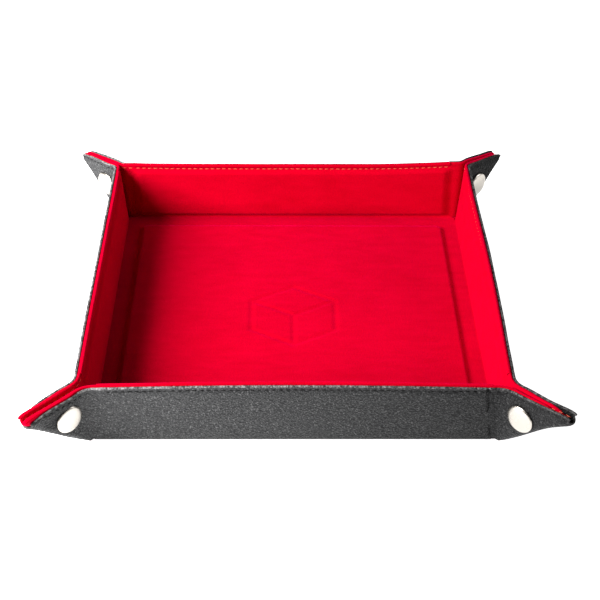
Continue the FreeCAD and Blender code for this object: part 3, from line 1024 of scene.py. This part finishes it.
def mesh_ear(wall, next_wall, corner, angle):
    near_body = f"{corner}_ear_{wall}_half"
    far_body = f"{corner}_ear_{next_wall}_half"
    across = lines((0, 0.012), (0.26, 0.045), (1, 1))
    upward = lines((0, 0.04), (0.1, 0.045), (0.86, 0.018), (1, 1))
    for sheet, bottom, between in (("leather", 0, EAR_OFFSET - BETWEEN), ("velvet", INNER, 0.25)):
        def faces(x, run):
            return [ear_points(corner, x, run, level) for level in ear_levels(sheet, x, run)]

        inset = ear_inset(corner, sheet, across)
        foot = -bottom_reach(bottom)
        # the first half
        x, run = ear_patch(inset, foot, across, upward)
        near = ear_sheet(f"{near_body}_{sheet}_sheet", corner, sheet, faces(x, run), 0, angle)
        # the second half: the bend round the diagonal, then back to the opened crease
        far_x, far_run = ear_patch(inset, foot, across, upward, opened_start_x)
        turns = np.linspace(0, math.pi, 13)[:, None]
        rounded = [u_points(corner, x[-1], run[-1], level, turns)[:-1]
                   for level in ear_levels(sheet, x[-1], run[-1])]
        back = [mirrored(face[::-1]) for face in faces(far_x, far_run)]
        turns = np.concatenate([turns[:-1], np.full((len(across), 1), math.pi)])
        far = ear_sheet(f"{far_body}_{sheet}_sheet", corner, sheet,
                        [np.concatenate(pair) for pair in zip(rounded, back)], turns, angle)
        # the strip between that crease and the next wall's sheet
        step = np.linspace(0, 1, 14)[:, None]
        edge_run = far_run[:1] + 0 * step
        edge_x = ear_start_x(edge_run) * (1 - step) + far_x[:1] * step
        strip = [mirrored(face) for face in faces(edge_x, edge_run)]
        edge = ear_sheet(f"{far_body}_{sheet}_crease", corner, sheet, strip, math.pi, angle)
        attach(edge, f"{next_wall}_wall")
        if sheet == "velvet":
            snap_hole(near, angle, False)
            snap_hole(far, angle, True)
        piece(near, sheet, f"{near_body}_{sheet}")
        piece(far, sheet, f"{far_body}_{sheet}")
        blend(near, f"{wall}_wall", near_body, CREASE_ENDS, angle)
        blend(far, near_body, far_body, diagonal_ends(between), angle)
    stitches(f"{near_body}_stitches", ear_seam_places(corner, False), angle, f"{wall}_wall",
             near_body, CREASE_ENDS)
    stitches(f"{far_body}_stitches", ear_seam_places(corner, True), angle, near_body, far_body,
             diagonal_ends(0.05))
    mesh_cap(near_body, angle, False)
    mesh_cap(far_body, angle, True)


def ear_seam_places(corner, flip):
    """Places of the stitches of an ear's first half, or of its second half where flip is set."""
    inset = WALL_RUN - SEAM_RUN
    first = opened_start_x if flip else ear_start_x
    length = rim_length(inset, first)

    def path(s):
        return ear_boundary(np.array([s / length]), inset, first)

    def face(side, x, run, height):
        point = ear_points(corner, x, run, height)[0]
        share = 1.0 if side == "outside" else GAPE_INSIDE
        if flip:
            return gape(corner, mirrored(point), math.pi, share)
        return gape(corner, point, 0, share)

    return seam_places(path, length - 0.9, face)


# ---- snap caps ---------------------------
CAP_RADIUS = 6.5
CAP_HEIGHT = 1.9
CAP_EDGE = 0.45  # radius of the rolled edge
CAP_SHOULDER = 0.55  # height of the dome's foot
POST_RADIUS = 1.5
HOLE_RADIUS = 5.2


def snap_hole(obj, angle, flip):
    """Cuts the lining's round hole for its half of the snap."""
    sides, depth = 40, 6.0
    middle = SNAP_CENTRE - INWARD * (SNAP_CENTRE @ INWARD)
    start, end = (0.05, depth) if flip else (-depth, -0.05)
    points = around_axis([(HOLE_RADIUS, start), (HOLE_RADIUS, end)], middle, INWARD, [0, 0, 1],
                         sides)
    faces = ring_faces(2, sides) + end_faces(2, sides)
    cutter = new_object("cutter", turned(points, angle), faces, BOARD)
    cut = obj.modifiers.new("hole", "BOOLEAN")
    cut.operation = "DIFFERENCE"
    cut.solver = "EXACT"
    cut.use_self = True
    cut.object = cutter
    bpy.context.view_layer.update()
    graph = bpy.context.evaluated_depsgraph_get()
    mesh = bpy.data.meshes.new_from_object(obj.evaluated_get(graph), depsgraph=graph)
    obj.modifiers.clear()
    obj.data = mesh
    while len(mesh.materials) > 1:
        mesh.materials.pop()
    mesh.attributes.remove(mesh.attributes["rest"])
    bpy.data.objects.remove(cutter)
    finish_mesh(mesh)


def mesh_cap(body, angle, flip):
    """Domed cap with a rolled edge, turned on a lathe about the snap's axis, and its post."""
    sides = 64
    roll = [(CAP_RADIUS - CAP_EDGE + CAP_EDGE * math.cos(t),
             CAP_EDGE + CLEARANCE + CAP_EDGE * math.sin(t))
            for t in np.radians(np.arange(35, -91, -18))]
    dome = [(CAP_RADIUS * math.sin(t),
             CAP_SHOULDER + (CAP_HEIGHT - CAP_SHOULDER) * math.cos(t) ** 0.9)
            for t in np.linspace(0, math.radians(78), 16)]
    dome = [p for p in dome if p[0] < roll[0][0] - 0.15]
    post = [(POST_RADIUS, CLEARANCE), (POST_RADIUS, -LEATHER), (0.0, -LEATHER)]
    foot = SNAP_CENTRE - INWARD * (SNAP_CENTRE @ INWARD + EAR_OFFSET + MID)
    profile = dome + roll + post
    points = around_axis(profile, foot, -INWARD, [0.3, 0.9, 0.1], sides)
    obj = new_object(f"{body}_snap_cap_dome", turned(mirrored(points) if flip else points, angle),
                     ring_faces(len(profile), sides), CAP_METAL)
    piece(obj, "cap_metal", f"{body}_snap_cap")
    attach(obj, body)


# ---- carried-over CAD nodes --------------
def dress_cad_nodes():
    finishes = {"board": BOARD, "snap_socket": SNAP_METAL, "snap_stud": SNAP_METAL,
                "snap_spring": SPRING_METAL}
    for name, obj in frame["nodes"].items():
        for ending, material in finishes.items():
            if name.endswith(ending):
                obj.data.materials.clear()
                obj.data.materials.append(material)
        if not obj.hide_render:
            store_rest(obj.data)


# ---- scene -------------------------------
def make_camera():
    place = Vector((-6.4, -549.2, 401.1)) * MM
    pitch, yaw, roll = (math.radians(angle) for angle in (35.40, -1.009, 0.645))
    data = bpy.data.cameras.new("camera")
    data.lens = 81.4
    data.sensor_width = 36.0
    data.clip_start, data.clip_end = 0.01, 20
    camera = add_object("camera", data)
    camera.matrix_world = (Matrix.Translation(place) @ Matrix.Rotation(yaw, 4, "Z")
                           @ Matrix.Rotation(math.pi / 2 - pitch, 4, "X")
                           @ Matrix.Rotation(roll, 4, "Z"))
    bpy.context.scene.camera = camera


def make_light(name, place, size, power):
    data = bpy.data.lights.new(name, "AREA")
    data.size = size
    data.energy = power
    lamp = add_object(name, data)
    lamp.location = place
    lamp.rotation_mode = "QUATERNION"
    lamp.rotation_quaternion = (Vector((0, 0, 0.02)) - Vector(place)).to_track_quat("-Z", "Y")


def make_studio():
    mesh = bpy.data.meshes.new("floor")
    mesh.from_pydata([(-6, -6, 0), (6, -6, 0), (6, 6, 0), (-6, 6, 0)], [], [(0, 1, 2, 3)])
    mesh.materials.append(floor_material())
    add_object("floor", mesh)
    world = bpy.data.worlds.new("studio")
    world.use_nodes = True
    background = world.node_tree.nodes["Background"]
    background.inputs["Color"].default_value = (1, 1, 1, 1)
    background.inputs["Strength"].default_value = 0.05
    bpy.context.scene.world = world
    make_light("key", (-0.50, -0.20, 0.36), 0.34, 14.2)
    make_light("fill", (0.55, 0.05, 0.28), 0.3, 1.5)
    bpy.context.scene.view_settings.view_transform = "Standard"


make_camera()
make_studio()
mesh_base_leather()
mesh_base_velvet()
mesh_corner_pads()
for wall, angle, _, _ in WALLS:
    mesh_wall(wall, angle)
for wall, angle, next_wall, corner in WALLS:
    mesh_ear(wall, next_wall, corner, angle)
dress_cad_nodes()
